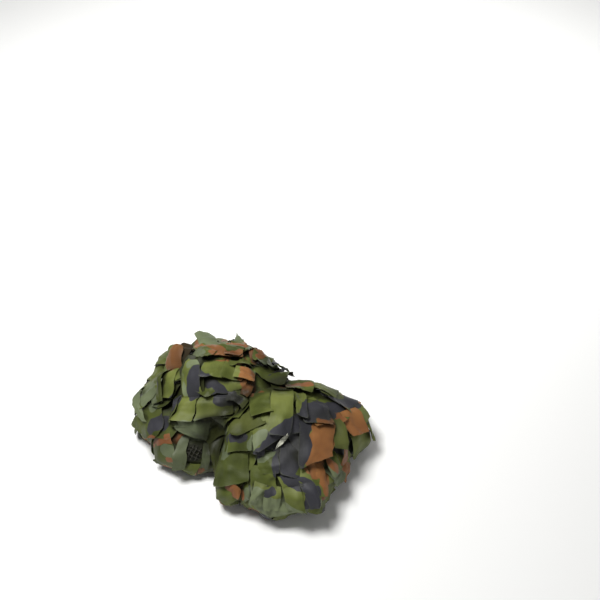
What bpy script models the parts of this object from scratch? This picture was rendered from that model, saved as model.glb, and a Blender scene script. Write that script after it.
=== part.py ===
# A camouflage net gathered into a loose bundle of two heaps, lying on a flat surface.
# Metres. The origin is on the surface under the middle, +X runs along the bundle, +Y to its back, +Z up.
import math
import random

import bmesh
import bpy
import numpy as np
from mathutils import Vector, noise
from mathutils.bvhtree import BVHTree

for leftover in list(bpy.data.objects):
    bpy.data.objects.remove(leftover)

MM = 0.001

# All places below are measured from a point in the saddle. The outline's middle is this far from it,
# and the objects are moved so that the middle comes over the origin.
MIDDLE_X, MIDDLE_Y = -4.1 * MM, 7.4 * MM

# Plan of the bundle: how far its side stands out from the point in the saddle in each direction.
REACH_COLUMNS = ("angle_deg", "reach_mm")
REACH_ROWS = (
    (-170, 150),
    (-158, 134),
    (-147, 120),
    (-136, 101),
    (-127, 81),
    (-118, 94),
    (-106, 119),
    (-92, 120),
    (-80, 142),
    (-67, 160),
    (-54, 161),
    (-42, 153),
    (-28, 149),
    (-16, 154),
    (-3, 171),
    (8, 164),
    (20, 140),
    (34, 111),
    (48, 91),
    (62, 92),
    (78, 112),
    (92, 138),
    (106, 164),
    (120, 178),
    (133, 182),
    (146, 181),
    (159, 184),
    (172, 177),
    (181, 167),
)
CORNER_ROUNDING = 5  # degrees over which the plan's corners are rounded

SIDE_HEIGHT = 30 * MM  # height at which the side stands out farthest
SHOULDER_POWER = 0.9  # under 1, the heaps stay full farther out before they round off to the side
TUCK = 22 * MM  # how far the side draws in below that, down to the surface

# The two heaps, above the saddle between them.
SADDLE_HEIGHT = 86 * MM
HEAP_COLUMNS = ("x_mm", "y_mm", "rise_mm", "spread_mm")
HEAP_ROWS = (
    (-60, 62, 48, 62),
    (64, -36, 44, 60),
)

# Main twists of the cloth, each a soft trough where its rise is negative, or else a ridge.
FOLD_COLUMNS = ("x1_mm", "y1_mm", "x2_mm", "y2_mm", "width_mm", "rise_mm")
FOLD_ROWS = (
    (-58, -88, -52, -44, 17, -20),
    (-52, -44, -8, -20, 16, -18),
    (-8, -20, 42, 4, 18, -14),
    (42, 4, 74, 40, 20, -10),
    (-150, 20, -96, 66, 14, 5),
    (-104, -6, -60, 24, 14, 4),
    (8, -92, 62, -58, 13, 6),
    (108, -96, 140, -36, 13, 5),
    (60, 90, -20, 134, 14, -6),
)

# Soft uneven lumps all over the cloth.
LUMP_HEIGHT = 7 * MM
LUMP_SIZE = 48 * MM

GRID_CELLS = 28  # cells across the top of the bundle
SIDE_RINGS = 3  # rows of faces from the side down to the surface

# Leaves cut in the cloth, that lie or stand on the bundle. Each starts at its root and ends in a tip,
# which is square where round is 0. The rows go from the left heap's end to the right heap's front.
LEAF_THICKNESS = 2.4 * MM
LEAF_PROUD = 1.2 * MM  # how far the lowest leaf's root stands above the cloth round it
LAYERS = 5  # each leaf lies a layer above the one before, up to this many
LAYER_STEP = 0.8 * MM
ROOT_DEPTH = 5 * MM
FREE_LIFT = 6 * MM  # a leaf whose tip rises this far stands free of the cloth under it
LIFT_POWER = 1.5  # over 1, a leaf rises mostly towards its tip
LEAF_STEPS = 4
TIP_NARROWING = 0.6  # share of its width that a round tip loses
TIP_POWER = 4  # the higher, the nearer to the tip a round leaf narrows
LEAF_COLUMNS = ("x_mm", "y_mm", "heading_deg", "length_mm", "width_mm", "lift_mm", "round")
LEAF_ROWS = (
    (-142, 52, -115, 55, 44, 3, 0),
    (-160, 46, -98, 62, 14, 8, 0),
    (-114, 6, -140, 60, 40, 4, 1),
    (-112, 42, 80, 50, 44, 12, 1),
    (-106, 44, -88, 60, 24, 3, 0),
    (-71, -8, 90, 56, 28, 4, 1),
    (-64, 106, 106, 20, 26, 13, 0),
    (-70, 72, 94, 46, 30, 6, 0),
    (-40, 62, 78, 46, 56, 5, 0),
    (-49, 48, -90, 50, 34, 4, 0),
    (-20, 52, -90, 44, 26, 6, 0),
    (-26, 88, 66, 40, 36, 5, 0),
    (-20, 106, 100, 26, 14, 12, 1),
    (8, 70, 30, 30, 26, 6, 0),
    (-2, 40, -91, 48, 24, 5, 0),
    (-56, -2, -24, 48, 30, 3, 1),
    (-44, -14, -88, 30, 40, 4, 0),
    (-86, -4, -92, 40, 34, 5, 0),
    (-72, -30, -86, 24, 54, 3, 0),
    (-128, -16, -102, 66, 36, 3, 0),
    (-80, -67, -100, 32, 30, 6, 0),
    (-54, -44, -80, 38, 14, 4, 0),
    (44, 44, 6, 32, 20, 4, 0),
    (2, 2, -86, 40, 26, 4, 0),
    (21, 8, -91, 50, 30, 3, 0),
    (48, 8, -90, 50, 30, 4, 0),
    (74, 8, -88, 46, 26, 3, 0),
    (72, 12, 60, 20, 24, 5, 0),
    (84, 0, 2, 46, 28, 3, 0),
    (82, -24, 6, 68, 28, 3, 0),
    (140, 4, -20, 44, 34, 5, 0),
    (134, -10, -62, 40, 34, 6, 0),
    (130, -20, -84, 58, 18, 6, 0),
    (150, -26, -75, 32, 32, 6, 0),
    (98, -46, -88, 60, 36, 6, 0),
    (80, -48, -150, 86, 38, 4, 0),
    (60, -84, -92, 40, 36, 5, 0),
    (10, -32, -100, 32, 54, 3, 0),
    (0, -58, 186, 34, 30, 4, 0),
    (14, -64, -70, 42, 36, 3, 0),
    (-14, -74, -98, 44, 46, 3, 0),
    (-28, -96, -112, 44, 34, 8, 1),
    (-18, -108, -36, 34, 18, 8, 0),
    (16, -94, -82, 42, 34, 4, 0),
    (44, -112, -32, 52, 26, 4, 1),
    (40, -128, -96, 44, 54, 3, 1),
    (16, -122, -132, 42, 18, 9, 0),
    (96, -100, -72, 60, 28, 8, 0),
    (112, -88, -58, 44, 26, 5, 0),
    (114, -88, -30, 38, 22, 8, 0),
)

# Leaves that go round the bundle in courses, at the back, the ends and the foot. A share of 0 is the
# bundle's middle and 1 is its side.
COURSE_COLUMNS = ("share", "first_deg", "last_deg", "count", "length_mm", "width_mm")
COURSE_ROWS = (
    (0.84, 14, 138, 7, 50, 36),
    (0.60, 34, 146, 5, 52, 38),
    (0.98, -24, 208, 11, 28, 38),
    (1.00, -142, -58, 4, 26, 34),
)
COURSE_VARIATION = 0.18  # share by which lengths, widths and spacings vary
COURSE_TURN = 30  # degrees by which a leaf may turn to either side
COURSE_LIFT = (3, 7)  # least and most lift of a leaf's tip, mm
COURSE_SEED = 12

# The opening low on the left heap where the netting behind the cloth shows.
OPENING_X, OPENING_Y = -78 * MM, -47 * MM
OPENING_HEADING = -96
OPENING_LENGTH, OPENING_WIDTH = 30 * MM, 30 * MM
OPENING_DEPTH = 5 * MM
CUTTER_HEIGHT = 15 * MM  # how far the opening's cutter reaches out of the cloth
STRAND_PITCH = 6 * MM
STRAND_THICKNESS = 1.4 * MM
CLEARANCE = 0.3 * MM  # between the netting and the floor and walls of its opening

LEAF_GREEN = (0.16, 0.19, 0.08)
NETTING_GREEN = (0.03, 0.04, 0.02)
CLOTH_ROUGHNESS = 0.6
NETTING_ROUGHNESS = 0.7
SHARP_ANGLE = 40


def named(columns, rows):
    """Each row of a table as a dictionary of its columns."""
    return [dict(zip(columns, row)) for row in rows]


def reach(angle):
    """Distance from the point in the saddle to the side in this direction."""
    plan = dict(zip(REACH_COLUMNS, zip(*REACH_ROWS)))
    turns = math.degrees(angle) + np.linspace(-CORNER_ROUNDING, CORNER_ROUNDING, 5)
    return np.interp(turns, plan["angle_deg"], plan["reach_mm"], period=360).mean() * MM


def crest(x, y):
    """Height of the heaped net over this place, before it rounds off to the side."""
    height = SADDLE_HEIGHT
    for heap in named(HEAP_COLUMNS, HEAP_ROWS):
        away = math.hypot(x - heap["x_mm"] * MM, y - heap["y_mm"] * MM) / (heap["spread_mm"] * MM)
        height += heap["rise_mm"] * MM * math.exp(-away * away / 2)
    return height


def fold_rise(x, y):
    """How far the main twists raise or sink the cloth over this place."""
    here = Vector((x, y))
    rise = 0
    for fold in named(FOLD_COLUMNS, FOLD_ROWS):
        start = Vector((fold["x1_mm"], fold["y1_mm"])) * MM
        along = Vector((fold["x2_mm"], fold["y2_mm"])) * MM - start
        part = min(max((here - start).dot(along) / along.length_squared, 0), 1)
        away = (here - start - along * part).length / (fold["width_mm"] * MM)
        rise += fold["rise_mm"] * MM * math.exp(-away * away)
    return rise


def bundle_point(angle, share):
    """A point of the cloth. share is 0 in the middle, 1 at the side and 2 at the foot of the side."""
    turn = math.pi / 2 * share
    side = reach(angle)
    if share > 1:
        distance = side - TUCK * (1 - math.sin(turn))
        height = SIDE_HEIGHT * (1 + math.cos(turn))
    else:
        distance = side * math.sin(turn)
        shoulder = max(math.cos(turn), 0) ** SHOULDER_POWER
        x, y = distance * math.cos(angle), distance * math.sin(angle)
        height = SIDE_HEIGHT + (crest(x, y) - SIDE_HEIGHT) * shoulder
        height += fold_rise(x, y) * min(1, 2 * shoulder)
    x, y = distance * math.cos(angle), distance * math.sin(angle)
    lump = LUMP_HEIGHT * noise.noise(Vector((x, y, height)) / LUMP_SIZE) * min(1, height / SIDE_HEIGHT)
    swell = 1 + lump * min(share, 1) / side
    rise = lump * max(math.cos(turn), 0)
    return Vector((x * swell, y * swell, height + rise))


def bundle_mesh():
    """The bundle without its leaves: a grid out to the side, rings down to the surface, a flat base."""
    body = bmesh.new()
    half, last = GRID_CELLS / 2, GRID_CELLS
    grid = {}
    for i in range(last + 1):
        for j in range(last + 1):
            u, v = i / half - 1, j / half - 1
            across, deep = u * math.sqrt(1 - v * v / 2), v * math.sqrt(1 - u * u / 2)
            share = min(1, math.hypot(across, deep))
            grid[i, j] = body.verts.new(bundle_point(math.atan2(deep, across), share))
    for i in range(last):
        for j in range(last):
            body.faces.new((grid[i, j], grid[i + 1, j], grid[i + 1, j + 1], grid[i, j + 1]))
    border = [(k, 0) for k in range(last)] + [(last, k) for k in range(last)]
    border += [(last - k, last) for k in range(last)] + [(0, last - k) for k in range(last)]
    rim = [grid[place] for place in border]
    angles = [math.atan2(vert.co.y, vert.co.x) for vert in rim]
    for ring in range(1, SIDE_RINGS + 1):
        lower = [body.verts.new(bundle_point(angle, 1 + ring / SIDE_RINGS)) for angle in angles]
        join_rings(body, lower, rim)
        rim = lower
    for vert in rim:
        vert.co.z = 0
    body.faces.new(rim[::-1])
    bmesh.ops.triangulate(body, faces=body.faces)
    body.normal_update()
    return body


def join_rings(body, lower, upper):
    """Faces between two closed rings of vertices that run the same way."""
    for k in range(len(upper)):
        after = (k + 1) % len(upper)
        body.faces.new((lower[k], lower[after], upper[after], upper[k]))


def walk(tree, place, facing, ahead, strides):
    """Steps over the cloth, each a point, the way it faces and the way on. An end that passes the side
    hangs down there, and one that reaches the surface lies out on it."""
    steps = []
    for stride in strides:
        ahead = (ahead - facing * ahead.dot(facing)).normalized()
        beyond = place + ahead * stride
        nearest, turned, _, _ = tree.find_nearest(beyond)
        outward = Vector((turned.x, turned.y, 0)).normalized()
        if beyond.z < LEAF_THICKNESS:
            place, facing = Vector((beyond.x, beyond.y, LEAF_THICKNESS)), Vector((0, 0, 1))
            ahead = outward
        elif turned.z < 0:
            place, facing = beyond, outward
        else:
            place, facing = nearest, turned
        steps.append((place, facing, ahead))
    return steps


def place_on(tree, x, y):
    """The cloth's point over this place, or nearest to it past the side, and the way it faces there."""
    root, facing, _, _ = tree.ray_cast(Vector((x, y, 1)), Vector((0, 0, -1)))
    if root is None:
        root, facing, _, _ = tree.find_nearest(Vector((x, y, SIDE_HEIGHT)))
    return root, facing


def laid_rows(tree, x, y, heading, length, widths, cells):
    """Rows of points laid on the cloth from a root over this place, one row for each width, each with the
    way the cloth faces there."""
    root, facing = place_on(tree, x, y)
    turn = math.radians(heading)
    ahead = Vector((math.cos(turn), math.sin(turn), 0))
    stride = length / (len(widths) - 1)
    spine = walk(tree, root, facing, ahead, [0] + [stride] * (len(widths) - 1))
    rows = []
    for width, (place, facing, along) in zip(widths, spine):
        aside = facing.cross(along)
        strides = [width / cells] * (cells // 2)
        halves = [walk(tree, place, facing, aside * side, strides) for side in (-1, 1)]
        steps = halves[0][::-1] + [(place, facing, along)] + halves[1]
        rows.append([(point, turned) for point, turned, _ in steps])
    return rows


def raised(rows, heights, least=0):
    """The points of laid rows, each row moved off the cloth by its height, none below the least height."""
    moved = [[point + facing * height for point, facing in row] for row, height in zip(rows, heights)]
    return [[Vector((p.x, p.y, max(p.z, least))) for p in row] for row in moved]


def slab_mesh(upper_rows, lower_rows):
    """A closed slab between two grids of points."""
    body = bmesh.new()
    outlines = []
    for rows, flipped in ((upper_rows, False), (lower_rows, True)):
        grid = [[body.verts.new(point) for point in row] for row in rows]
        for a, b in zip(grid, grid[1:]):
            for k in range(len(a) - 1):
                corners = (a[k], a[k + 1], b[k + 1], b[k])
                body.faces.new(corners[::-1] if flipped else corners)
        left, right = [row[0] for row in grid], [row[-1] for row in grid]
        outlines.append(grid[0] + right[1:] + grid[-1][-2::-1] + left[-2:0:-1])
    join_rings(body, outlines[1], outlines[0])
    bmesh.ops.recalc_face_normals(body, faces=body.faces)
    bmesh.ops.triangulate(body, faces=body.faces)
    return body


def leaf_mesh(tree, leaf, layer):
    """One leaf of the cloth, its root sunk in the bundle and its tip lifted off it."""
    parts = [step / LEAF_STEPS for step in range(LEAF_STEPS + 1)]
    widths = [leaf["width_mm"] * MM * (1 - leaf["round"] * TIP_NARROWING * part ** TIP_POWER) for part in parts]
    place = (leaf["x_mm"] * MM, leaf["y_mm"] * MM, leaf["heading_deg"])
    rows = laid_rows(tree, *place, leaf["length_mm"] * MM, widths, 2)
    lift = leaf["lift_mm"] * MM
    tops = [LEAF_PROUD + layer * LAYER_STEP + lift * part ** LIFT_POWER for part in parts]
    sunk = [-ROOT_DEPTH] * len(parts)
    if lift >= FREE_LIFT:
        sunk = [top - LEAF_THICKNESS - ROOT_DEPTH * (1 - part) for top, part in zip(tops, parts)]
    return slab_mesh(raised(rows, tops, LEAF_THICKNESS), raised(rows, sunk))


def course_leaves():
    """The leaves that go round the bundle, heading out and down."""
    chance = random.Random(COURSE_SEED)
    leaves = []
    for course in named(COURSE_COLUMNS, COURSE_ROWS):
        spacing = (course["last_deg"] - course["first_deg"]) / (course["count"] - 1)
        for k in range(course["count"]):
            shift, longer, wider = [chance.uniform(-COURSE_VARIATION, COURSE_VARIATION) for _ in range(3)]
            angle = course["first_deg"] + spacing * (k + shift)
            root = bundle_point(math.radians(angle), course["share"]) / MM
            heading = angle + chance.uniform(-COURSE_TURN, COURSE_TURN)
            length, width = course["length_mm"] * (1 + longer), course["width_mm"] * (1 + wider)
            leaves.append((root.x, root.y, heading, length, width, chance.uniform(*COURSE_LIFT), k % 2))
    return leaves


def sheet_mesh(rows):
    """An open sheet through rows of points."""
    body = bmesh.new()
    grid = [[body.verts.new(point) for point in row] for row in rows]
    for a, b in zip(grid, grid[1:]):
        for k in range(len(a) - 1):
            body.faces.new((a[k], a[k + 1], b[k + 1], b[k]))
    return body


def add_object(name, body, colour, roughness):
    """An object of this mesh with a material of its own."""
    mesh = bpy.data.meshes.new(name)
    body.to_mesh(mesh)
    body.free()
    mesh.shade_smooth()
    mesh.set_sharp_from_angle(angle=math.radians(SHARP_ANGLE))
    material = bpy.data.materials.new(name)
    material.use_nodes = True
    shader = material.node_tree.nodes["Principled BSDF"]
    shader.inputs["Base Color"].default_value = (*colour, 1)
    shader.inputs["Roughness"].default_value = roughness
    shader.inputs["Metallic"].default_value = 0
    mesh.materials.append(material)
    obj = bpy.data.objects.new(name, mesh)
    obj.location = (-MIDDLE_X, -MIDDLE_Y, 0)
    bpy.context.scene.collection.objects.link(obj)
    return obj


def as_guide(obj, collection):
    """Keeps an object out of the model, for a Boolean to read."""
    obj.hide_render = True
    obj.display_type = "WIRE"
    bpy.context.scene.collection.objects.unlink(obj)
    collection.objects.link(obj)


def add_boolean(obj, name, operation, collection):
    """A Boolean on the object with all of a collection's guides."""
    joined = obj.modifiers.new(name, "BOOLEAN")
    joined.operation = operation
    joined.operand_type = "COLLECTION"
    joined.collection = collection
    joined.solver = "EXACT"


bare = bundle_mesh()
cloth = BVHTree.FromBMesh(bare)
bundle = add_object("net_bundle", bare, LEAF_GREEN, CLOTH_ROUGHNESS)

leaf_guides = bpy.data.collections.new("leaves")
opening_guides = bpy.data.collections.new("openings")
for guides in (leaf_guides, opening_guides):
    bpy.context.scene.collection.children.link(guides)

for number, leaf in enumerate(named(LEAF_COLUMNS, LEAF_ROWS + tuple(course_leaves()))):
    body = leaf_mesh(cloth, leaf, number % LAYERS)
    as_guide(add_object(f"leaf_{number}", body, LEAF_GREEN, CLOTH_ROUGHNESS), leaf_guides)

lines = round(OPENING_LENGTH / STRAND_PITCH) + 1
cells = round(OPENING_WIDTH / STRAND_PITCH / 2) * 2
opening = (OPENING_X, OPENING_Y, OPENING_HEADING, OPENING_LENGTH)
floor_rows = laid_rows(cloth, *opening, [OPENING_WIDTH] * lines, cells)
cutter_top = raised(floor_rows, [CUTTER_HEIGHT] * lines)
pocket = slab_mesh(cutter_top, raised(floor_rows, [-OPENING_DEPTH] * lines))
as_guide(add_object("opening", pocket, LEAF_GREEN, CLOTH_ROUGHNESS), opening_guides)
add_boolean(bundle, "opening", "DIFFERENCE", opening_guides)
add_boolean(bundle, "leaves", "UNION", leaf_guides)

inset = 2 * (CLEARANCE + STRAND_THICKNESS)
strand_rows = laid_rows(cloth, *opening, [OPENING_WIDTH - inset] * lines, cells)
strand_height = CLEARANCE + STRAND_THICKNESS / 2 - OPENING_DEPTH
strand_lines = raised(strand_rows, [strand_height] * lines)[1:-1]
netting = add_object("backing_netting", sheet_mesh(strand_lines), NETTING_GREEN, NETTING_ROUGHNESS)
strands = netting.modifiers.new("strands", "WIREFRAME")
strands.thickness = STRAND_THICKNESS
strands.use_even_offset = False
strands.use_boundary = True
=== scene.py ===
import math
import random
from functools import partial

import bpy
import numpy as np
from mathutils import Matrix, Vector, noise
from mathutils.bvhtree import BVHTree


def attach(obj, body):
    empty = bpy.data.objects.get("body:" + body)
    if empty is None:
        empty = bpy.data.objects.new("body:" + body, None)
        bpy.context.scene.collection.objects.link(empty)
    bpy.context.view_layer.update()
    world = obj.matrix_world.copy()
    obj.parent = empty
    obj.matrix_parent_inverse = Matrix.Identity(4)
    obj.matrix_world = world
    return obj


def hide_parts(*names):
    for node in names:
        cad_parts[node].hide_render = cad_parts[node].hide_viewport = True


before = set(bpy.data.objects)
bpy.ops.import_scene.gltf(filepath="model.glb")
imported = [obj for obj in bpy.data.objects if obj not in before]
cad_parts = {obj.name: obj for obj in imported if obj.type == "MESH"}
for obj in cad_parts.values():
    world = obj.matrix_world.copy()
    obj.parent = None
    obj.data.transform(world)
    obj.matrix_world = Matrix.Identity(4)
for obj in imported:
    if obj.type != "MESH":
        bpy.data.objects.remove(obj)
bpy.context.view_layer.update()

scene = bpy.context.scene
mm = 0.001
# places on the net are in mm from this point in the saddle
saddle = np.array([4.1, -7.4, 0.0]) * mm


# the bed: the gathered net without its leaves, as a map to lay them on
bed = {
    "heart": (0.0, 0.0, 12.0),  # mm, all lines to the cloth run out of this point
    "cells": 420,
    "foot": 1.04,  # share of the way from the top, where 1 is level with the heart
    "edge": 1.20,  # past the foot the map runs out over the floor
    "floorRun": 250.0,  # mm of floor for a share of 1
    "span": 0.2,  # metres of cloth for a share of 1, about
    "softening": 7.0,  # mm over which the solid's leaves are smoothed away
    "sink": 9.5,  # mm from the solid's face down to the inner layers
    "skin": 9.0,  # mm from the bed up to the outer leaves, where the places in the tables lie
    "gatherHeight": 2.4,  # mm, small ridges in the inner layers
    "gatherWidth": 17.0,
    "floorGap": 0.4,  # mm from the floor to the middle of the cloth
}
heart = np.array(bed["heart"]) * mm
mapPlaces = np.linspace(-bed["edge"], bed["edge"], bed["cells"])
cellSize = mapPlaces[1] - mapPlaces[0]
cellSpan = cellSize * bed["span"]
mapGrid = np.stack(np.meshgrid(mapPlaces, mapPlaces, indexing="ij"), -1)
mapShare = np.hypot(mapGrid[..., 0], mapGrid[..., 1])
mapAround = np.arctan2(mapGrid[..., 1], mapGrid[..., 0])


def soften(field, spread):
    # a Gaussian blur, spread in cells
    span = int(3 * spread) + 1
    weights = np.exp(-0.5 * (np.arange(-span, span + 1) / spread) ** 2)
    weights /= weights.sum()
    for axis in (0, 1):
        rims = [(span, span) if k == axis else (0, 0) for k in range(field.ndim)]
        padded, size = np.pad(field, rims, mode="edge"), field.shape[axis]
        field = sum(w * np.take(padded, range(k, k + size), axis) for k, w in enumerate(weights))
    return field


def unit(vectors):
    return vectors / (np.linalg.norm(vectors, axis=-1, keepdims=True) + 1e-12)


def readGrid(field, at):
    # bilinear reading of a grid, at places counted in its cells
    low = np.minimum(at.astype(int), np.array(field.shape[:2]) - 2)
    part = at - low
    i, j, u, v = low[..., 0], low[..., 1], part[..., 0], part[..., 1]
    if field.ndim == 3:
        u, v = u[..., None], v[..., None]
    return ((field[i, j] * (1 - u) + field[i + 1, j] * u) * (1 - v)
            + (field[i, j + 1] * (1 - u) + field[i + 1, j + 1] * u) * v)


def readMap(field, places):
    return readGrid(field, np.clip((places + bed["edge"]) / cellSize, 0, bed["cells"] - 1.001))


def placeAt(run, around, *height):
    return np.stack([run * np.cos(around), run * np.sin(around), *height], -1)


def mapBed():
    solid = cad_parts["net_bundle"].data
    tree = BVHTree.FromPolygons([v.co for v in solid.vertices], [tuple(p.vertices) for p in solid.polygons])
    climb = (1 - np.minimum(mapShare, bed["foot"])) * math.pi / 2
    lines = placeAt(np.cos(climb), mapAround, np.sin(climb))
    reach = np.zeros(mapShare.shape)
    outside = 0.5  # metres from the heart, past all of the net
    for i, j in np.ndindex(reach.shape):
        line = Vector(lines[i, j])
        reach[i, j] = outside - tree.ray_cast(Vector(heart) + line * outside, -line)[3]
    reach = soften(reach, bed["softening"] * mm / cellSpan) - bed["sink"] * mm
    points = heart + lines * reach[..., None]
    # under its widest the cloth hangs nearly straight down, and past the foot the map is the floor
    shares = np.linspace(0, bed["foot"], 200)
    arounds = np.linspace(-math.pi, math.pi, 361)
    out = readMap(points, placeAt(shares[None], arounds[:, None]))
    run = np.hypot(out[..., 0], out[..., 1])
    widest = run.argmax(1)
    shareWide, heightWide = [np.interp(mapAround, arounds, soften(values[:, None], 3)[:, 0])
                             for values in (shares[widest], out[range(len(arounds)), widest, 2])]
    runWide, runFoot = [np.interp(mapAround, arounds, values) for values in (run.max(1), run[:, -1])]
    down = np.clip((mapShare - shareWide) / (bed["foot"] - shareWide), 0, 1)
    hangRun = runWide - (runWide - runFoot) * down ** 2
    hangRun += np.maximum(mapShare - bed["foot"], 0) * bed["floorRun"] * mm
    hung = placeAt(hangRun, mapAround, heightWide * (1 - down) + bed["floorGap"] * mm)
    points = np.where((mapShare > shareWide)[..., None], hung, points)
    lifts = np.where((mapShare > shareWide)[..., None], placeAt(1, mapAround, 0 * mapAround), lines)
    lifts = np.where((mapShare > bed["foot"])[..., None], np.array([0.0, 0, 1]), lifts)
    return points, unit(soften(lifts, 3))


bedPoints, bedLifts = mapBed()
bedA, bedB = [soften(np.gradient(bedPoints, cellSize, axis=axis), 2) for axis in (0, 1)]
bedFacing = unit(np.cross(bedA, bedB))
skinPoints = bedPoints + bedLifts * bed["skin"] * mm
# how high cloth lies over the bed so far, at first only the gathers
pile = np.zeros(mapShare.shape)
for i, j in np.ndindex(pile.shape):
    wave = abs(noise.noise(Vector(bedPoints[i, j]) / (bed["gatherWidth"] * mm)))
    pile[i, j] = bed["gatherHeight"] * mm * max(0, 0.8 - 2 * wave)
# soft folds: from one place to another, mm, then how high and how wide
folds = (
    (-30, -28, 4, -40, 6, 7),
    (-34, -50, -6, -38, 5, 6),
    (-8, -30, -34, -92, 5, 8),
    (-96, -34, -60, -30, 4, 6),
    (20, 34, 24, -40, 3, 9),
    (48, 30, 52, -36, 3, 9),
    (70, -20, 130, -26, 3, 8),
    (-50, 20, -46, -20, 4, 6),
    (-86, 60, -92, 0, 4, 6),
    (-124, 40, -140, -20, 3, 7),
    (0, -84, 60, -112, 4, 7),
)
print("bed mapped,", round(float(bedPoints[..., 2].max()) * 1000), "mm high")


# the woodland print: its charcoal, brown and pale patches on the gathered net
woodland = {
    "seed": 11,
    "farPatches": 95,  # at the back
    "endPatches": 16,  # low on the right end
    "farSizes": (10, 24),  # mm, least and most width of a patch
    "farRuns": (6, 46),  # mm, least and most length of a patch before its round ends
    "farShares": (0.30, 0.34, 0.36),  # of charcoal, brown and pale
    "farLine": 62.0,  # mm behind the saddle at which the back begins
    "farSlopes": (0.45, -0.35),  # how that line runs back to the left, past 20 mm, and forward to the right
    "lowEnd": 22.0,  # mm of height under which all is an end
    "rightEnd": (120, 30, 48),  # mm: right of, in front of and under these
}
inks = ("dark", "brown", "pale")
# from one place to another, mm, then how wide
chartedPatches = {}
chartedPatches["dark"] = (
    (-100, -10, -116, -22, 16),
    (-116, -24, -133, -27, 20),
    (-127, 30, -120, 16, 8),
    (-69, 9, -72, -9, 20),
    (-64, 4, -31, -14, 15),
    (-38, -20, -14, -17, 14),
    (-20, -69, 0, -74, 10),
    (82, -38, 114, -24, 26),
    (112, -13, 145, 9, 17),
    (78, -40, 70, -72, 22),
    (68, -64, 44, -82, 30),
    (44, -83, 15, -99, 15),
    (64, -83, 51, -110, 33),
    (46, -113, 60, -123, 16),
    (60, -123, 78, -126, 15),
    (82, -128, 80, -139, 16),
    (27, -131, 35, -130, 10),
)
chartedPatches["brown"] = (
    (-96, 65, -112, 43, 18),
    (-81, 100, -74, 80, 12),
    (-62, 71, -34, 48, 14),
    (-39, 41, -7, 48, 18),
    (-45, 89, -31, 82, 9),
    (-2, 13, -2, -1, 22),
    (-3, -3, 4, -11, 14),
    (10, 49, 28, 65, 9),
    (55, 5, 81, 10, 12),
    (104, -50, 90, -100, 38),
    (130, -23, 141, -40, 18),
    (134, -37, 127, -77, 14),
    (-132, -42, -102, -50, 14),
    (-20, -119, -6, -125, 10),
    (96, -108, 99, -124, 16),
    (-115, -65, -96, -71, 6),
    (108, -94, 116, -94, 12),
)
chartedPatches["pale"] = (
    (-149, 37, -134, 4, 27),
    (-72, 110, -55, 83, 18),
    (-79, 54, -61, 42, 14),
    (-87, 44, -84, -6, 8),
    (-77, 25, -65, 25, 10),
    (-37, 71, -16, 70, 10),
    (12, 29, 28, 47, 14),
    (-88, -45, -55, -39, 28),
    (-118, -58, -101, -69, 18),
    (-61, -52, -56, -72, 12),
    (-38, -37, -29, -78, 18),
    (8, -86, 21, -80, 15),
    (13, -103, 36, -98, 14),
    (13, -133, 59, -147, 32),
    (109, -103, 123, -101, 15),
)


def placeOnMap(x, y):
    # the map's place over a point of the plan, mm from the saddle
    dx, dy = x * mm + saddle[0] - heart[0], y * mm + saddle[1] - heart[1]
    around = math.atan2(dy, dx)
    shares = np.linspace(0, bed["foot"], 260)
    places = placeAt(shares, around)
    run = np.hypot(*(readMap(skinPoints, places) - heart)[:, :2].T)
    past = np.nonzero(run >= math.hypot(dx, dy))[0]
    return places[past[0] if len(past) else run.argmax()]


def pointAt(x, y):
    return readMap(bedPoints, placeOnMap(x, y))


def awayFrom(points, start, end):
    # metres to the line between two places
    run = end - start
    part = np.clip(((points - start) * run).sum(-1) / (run @ run), 0, 1)
    return np.linalg.norm(points - start - part[..., None] * run, axis=-1)


def farSide(point):
    # the back and the ends, which the patches above don't reach
    x, y = (point[:2] - saddle[:2]) / mm
    left, right = woodland["farSlopes"]
    line = woodland["farLine"] + left * max(0, -x - 20) + right * max(0, x)
    return y > line or point[2] < woodland["lowEnd"] * mm


def rightEnd(point):
    x, y = (point[:2] - saddle[:2]) / mm
    rightOf, before, under = woodland["rightEnd"]
    return x > rightOf and y < before and point[2] < under * mm


def layPrint():
    chance = random.Random(woodland["seed"])
    patches = {ink: [(pointAt(x1, y1), pointAt(x2, y2), width * mm / 2)
                     for x1, y1, x2, y2, width in chartedPatches[ink]] for ink in inks}
    made = 0
    while made < woodland["farPatches"] + woodland["endPatches"]:
        start = readMap(bedPoints, placeAt(bed["foot"] * math.sqrt(chance.random()),
                                           chance.uniform(-math.pi, math.pi)))
        if not (farSide(start) if made < woodland["farPatches"] else rightEnd(start)):
            continue
        ink = chance.choices(inks, woodland["farShares"])[0]
        run = np.array([chance.gauss(0, 1) for _ in range(3)])
        run *= chance.uniform(*woodland["farRuns"]) * mm / np.linalg.norm(run)
        patches[ink].append((start, start + run, chance.uniform(*woodland["farSizes"]) * mm / 2))
        made += 1
    return patches


def inkDepths(points):
    # how far inside each colour's patches points lie, mm
    depths = {}
    for ink in inks:
        nearest = np.min([awayFrom(points, start, end) - half for start, end, half in patches[ink]], axis=0)
        depths[ink] = np.clip(-nearest / mm, -30, 30)
    return depths


patches = layPrint()
for x1, y1, x2, y2, height, width in folds:
    away = awayFrom(bedPoints, pointAt(x1, y1), pointAt(x2, y2))
    pile = np.maximum(pile, height * mm * np.exp(-(away / (width * mm)) ** 2))
innerHeights = pile.copy()


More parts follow.
